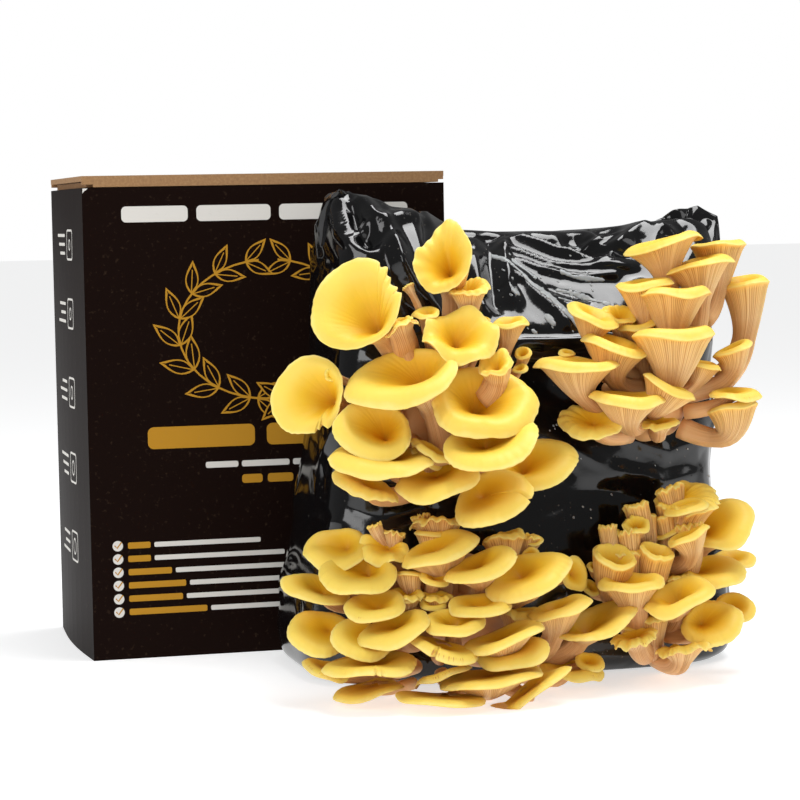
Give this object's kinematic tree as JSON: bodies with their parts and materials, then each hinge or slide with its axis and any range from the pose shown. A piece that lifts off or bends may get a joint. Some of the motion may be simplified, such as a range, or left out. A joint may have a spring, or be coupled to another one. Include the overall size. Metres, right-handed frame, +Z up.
{
  "type": "oyster mushroom grow kit",
  "caption": "Closed printed carton with hinged top flaps, standing behind a black film bag of substrate from which clusters of golden oyster mushrooms grow.",
  "frame": {"origin": "centre of the kit's footprint, at the floor", "axes": "+X to the right along the carton's printed front, +Y from the mushrooms back through the bag to the carton, +Z up"},
  "size_m": [0.363, 0.3715, 0.275],
  "materials": {
    "printed_board": "satin",
    "kraft_board": "matte",
    "black_film": "gloss",
    "mushroom_flesh": "satin",
    "mushroom_base": "satin"
  },
  "bodies": {
    "kit": {"carton_walls": "printed_board", "grow_bag": "black_film", "lower_left_base": "mushroom_base", "lower_left_mushroom_01": "mushroom_flesh", "lower_left_mushroom_02": "mushroom_flesh", "lower_left_mushroom_03": "mushroom_flesh", "lower_left_mushroom_04": "mushroom_flesh", "lower_left_mushroom_05": "mushroom_flesh", "lower_left_mushroom_06": "mushroom_flesh", "lower_left_mushroom_07": "mushroom_flesh", "lower_left_mushroom_08": "mushroom_flesh", "lower_left_mushroom_09": "mushroom_flesh", "lower_left_mushroom_10": "mushroom_flesh", "lower_left_mushroom_11": "mushroom_flesh", "lower_left_mushroom_12": "mushroom_flesh", "lower_left_mushroom_13": "mushroom_flesh", "lower_left_mushroom_14": "mushroom_flesh", "lower_left_mushroom_15": "mushroom_flesh", "lower_left_mushroom_16": "mushroom_flesh", "lower_left_mushroom_17": "mushroom_flesh", "lower_right_base": "mushroom_base", "lower_right_mushroom_01": "mushroom_flesh", "lower_right_mushroom_02": "mushroom_flesh", "lower_right_mushroom_03": "mushroom_flesh", "lower_right_mushroom_04": "mushroom_flesh", "lower_right_mushroom_05": "mushroom_flesh", "lower_right_mushroom_06": "mushroom_flesh", "lower_right_mushroom_07": "mushroom_flesh", "upper_left_base": "mushroom_base", "upper_left_mushroom_01": "mushroom_flesh", "upper_left_mushroom_02": "mushroom_flesh", "upper_left_mushroom_03": "mushroom_flesh", "upper_left_mushroom_04": "mushroom_flesh", "upper_left_mushroom_05": "mushroom_flesh", "upper_left_mushroom_06": "mushroom_flesh", "upper_left_mushroom_07": "mushroom_flesh", "upper_left_mushroom_08": "mushroom_flesh", "upper_left_mushroom_09": "mushroom_flesh", "upper_left_mushroom_10": "mushroom_flesh", "upper_left_mushroom_11": "mushroom_flesh", "upper_left_mushroom_12": "mushroom_flesh", "upper_left_mushroom_13": "mushroom_flesh", "upper_right_base": "mushroom_base", "upper_right_mushroom_01": "mushroom_flesh", "upper_right_mushroom_02": "mushroom_flesh", "upper_right_mushroom_03": "mushroom_flesh", "upper_right_mushroom_04": "mushroom_flesh", "upper_right_mushroom_05": "mushroom_flesh", "upper_right_mushroom_06": "mushroom_flesh", "upper_right_mushroom_07": "mushroom_flesh", "upper_right_mushroom_08": "mushroom_flesh", "upper_right_mushroom_09": "mushroom_flesh", "upper_right_mushroom_10": "mushroom_flesh", "upper_right_mushroom_11": "mushroom_flesh", "upper_right_mushroom_12": "mushroom_flesh", "upper_right_mushroom_13": "mushroom_flesh"},
    "front_flap": {"carton_front_flap": "kraft_board"},
    "back_flap": {"carton_back_flap": "kraft_board"},
    "left_flap": {"carton_left_flap": "kraft_board"},
    "right_flap": {"carton_right_flap": "kraft_board"}
  },
  "joints": [
    {"name": "front_flap_fold", "type": "hinge", "parent": "kit", "child": "front_flap", "pos_m": [-0.073, 0.0485, 0.26865], "axis": [1, 0, 0], "range_deg": [0, 150]},
    {"name": "back_flap_fold", "type": "hinge", "parent": "kit", "child": "back_flap", "pos_m": [-0.073, 0.1845, 0.26865], "axis": [-1, 0, 0], "range_deg": [0, 150]},
    {"name": "left_flap_fold", "type": "hinge", "parent": "kit", "child": "left_flap", "pos_m": [-0.17515, 0.1165, 0.26865], "axis": [0, 1, 0], "range_deg": [0, 85]},
    {"name": "right_flap_fold", "type": "hinge", "parent": "kit", "child": "right_flap", "pos_m": [0.02915, 0.1165, 0.26865], "axis": [0, -1, 0], "range_deg": [0, 85]}
  ]
}
